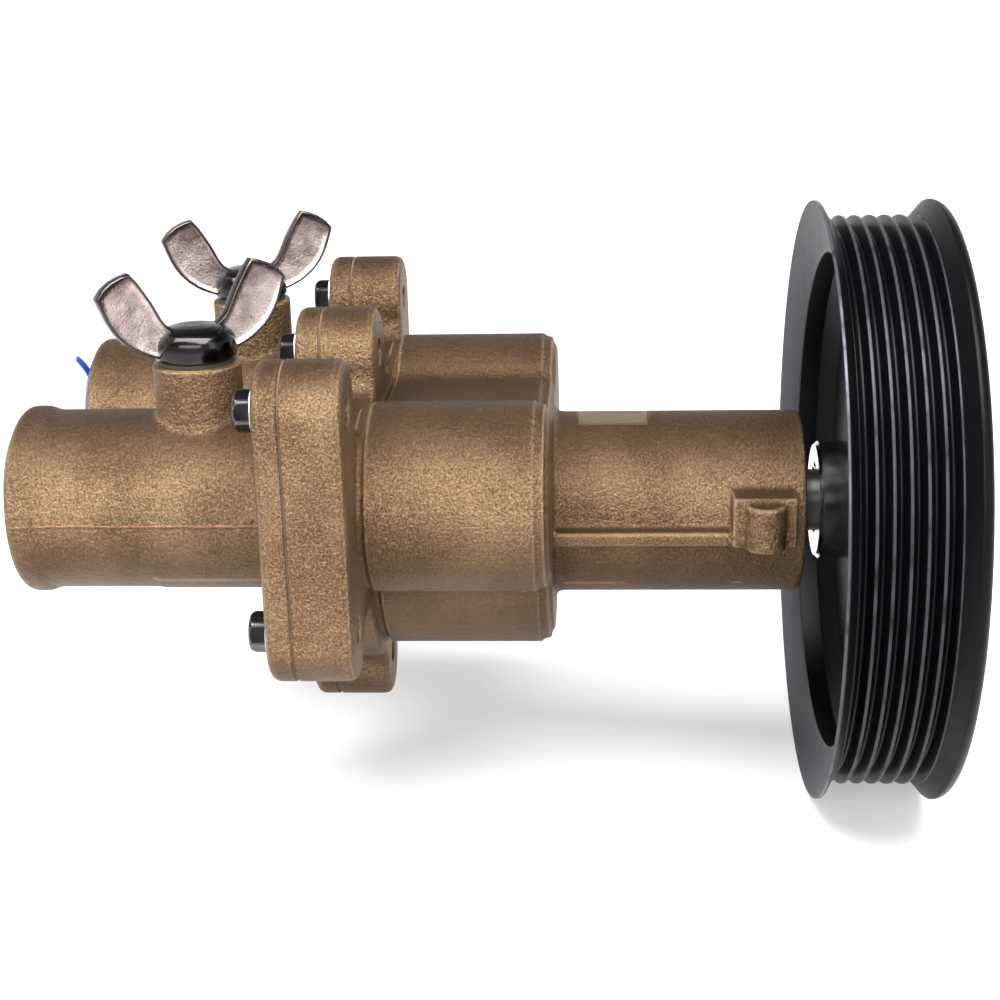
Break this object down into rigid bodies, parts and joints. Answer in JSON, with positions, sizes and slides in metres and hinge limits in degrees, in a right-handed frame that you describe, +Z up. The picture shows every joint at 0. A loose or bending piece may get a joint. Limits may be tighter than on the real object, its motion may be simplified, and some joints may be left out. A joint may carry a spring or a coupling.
{
  "type": "flexible impeller pump",
  "caption": "Belt driven flexible impeller pump: cast bronze body and end cover with two parallel hose stubs, wing drain plugs, and a ribbed belt pulley on its shaft.",
  "frame": {"origin": "on the shaft axis, midway along the round bearing housing where an engine bracket clamps it", "axes": "+X along the shaft towards the pulley, +Z up through the drain plugs, +Y to the back hose stub"},
  "size_m": [0.2163, 0.144, 0.144],
  "materials": {
    "cast_bronze": "sand cast, blasted",
    "gasket_paper": "compressed fibre",
    "dark_steel": "blackened",
    "zinc_steel": "zinc plated",
    "nickel": "dark nickel plate",
    "black_rubber": "moulded",
    "teal_plastic": "moulded",
    "blue_plastic": "moulded",
    "brass": "machined",
    "polished_steel": "ground",
    "pressed_steel": "pressed",
    "carbon": "lapped carbon",
    "ceramic": "lapped ceramic",
    "black_enamel": "gloss black enamel"
  },
  "bodies": {
    "casing": {"pump_body": "cast_bronze", "end_cover": "cast_bronze", "cover_gasket": "gasket_paper", "cover_bolts": "dark_steel", "bolt_washers": "zinc_steel", "wear_plate": "brass", "seal_seat": "ceramic", "seat_cup": "black_rubber", "oil_seal": "black_rubber", "inboard_outer_ring": "polished_steel", "outboard_outer_ring": "polished_steel", "inboard_shields": "pressed_steel", "outboard_shields": "pressed_steel", "housing_circlip": "dark_steel"},
    "rotor": {"drive_shaft": "polished_steel", "pulley": "black_enamel", "pulley_web": "black_enamel", "pulley_hub": "polished_steel", "pulley_key": "dark_steel", "pulley_washer": "zinc_steel", "pulley_bolt": "dark_steel", "impeller": "black_rubber", "impeller_insert": "brass", "impeller_key": "dark_steel", "seal_retainer": "polished_steel", "seal_spring": "polished_steel", "seal_bellows": "black_rubber", "seal_holder": "polished_steel", "seal_face": "carbon", "slinger": "black_rubber", "shaft_circlip": "dark_steel", "inboard_inner_ring": "polished_steel", "outboard_inner_ring": "polished_steel", "bearing_spacer": "polished_steel"},
    "inboard_ball_set": {"inboard_balls": "polished_steel", "inboard_cage": "pressed_steel"},
    "outboard_ball_set": {"outboard_balls": "polished_steel", "outboard_cage": "pressed_steel"},
    "front_seal_ring": {"plug_seal_front": "black_rubber"},
    "front_plug": {"wing_plug_front": "nickel"},
    "back_seal_ring": {"plug_seal_back": "black_rubber"},
    "back_plug": {"wing_plug_back": "nickel"},
    "front_cap": {"port_cap_front": "teal_plastic"},
    "back_cap": {"port_cap_back": "blue_plastic"}
  },
  "joints": [
    {"name": "shaft_spin", "type": "hinge", "parent": "casing", "child": "rotor", "pos_m": [0, 0, 0], "axis": [1, 0, 0], "continuous": true, "deforming": ["impeller"]},
    {"name": "inboard_balls_roll", "type": "hinge", "parent": "casing", "child": "inboard_ball_set", "pos_m": [0, 0, 0], "axis": [1, 0, 0], "continuous": true},
    {"name": "outboard_balls_roll", "type": "hinge", "parent": "casing", "child": "outboard_ball_set", "pos_m": [0, 0, 0], "axis": [1, 0, 0], "continuous": true},
    {"name": "front_plug_lift", "type": "slide", "parent": "casing", "child": "front_seal_ring", "axis": [0, 0, 1], "range_m": [0, 0.012]},
    {"name": "front_plug_turn", "type": "hinge", "parent": "front_seal_ring", "child": "front_plug", "pos_m": [-0.1081, -0.0325, 0], "axis": [0, 0, 1], "range_deg": [0, 2880]},
    {"name": "front_cap_pull", "type": "slide", "parent": "casing", "child": "front_cap", "axis": [-1, 0, 0], "range_m": [0, 0.02]},
    {"name": "back_plug_lift", "type": "slide", "parent": "casing", "child": "back_seal_ring", "axis": [0, 0, 1], "range_m": [0, 0.012]},
    {"name": "back_plug_turn", "type": "hinge", "parent": "back_seal_ring", "child": "back_plug", "pos_m": [-0.1081, 0.0325, 0], "axis": [0, 0, 1], "range_deg": [0, 2880]},
    {"name": "back_cap_pull", "type": "slide", "parent": "casing", "child": "back_cap", "axis": [-1, 0, 0], "range_m": [0, 0.02]}
  ],
  "couplings": [
    {"joint": "inboard_balls_roll", "follows": "shaft_spin", "ratio": 0.38},
    {"joint": "outboard_balls_roll", "follows": "shaft_spin", "ratio": 0.38},
    {"joint": "front_plug_turn", "follows": "front_plug_lift", "rad_per_m": 4188.8},
    {"joint": "back_plug_turn", "follows": "back_plug_lift", "rad_per_m": 4188.8}
  ]
}
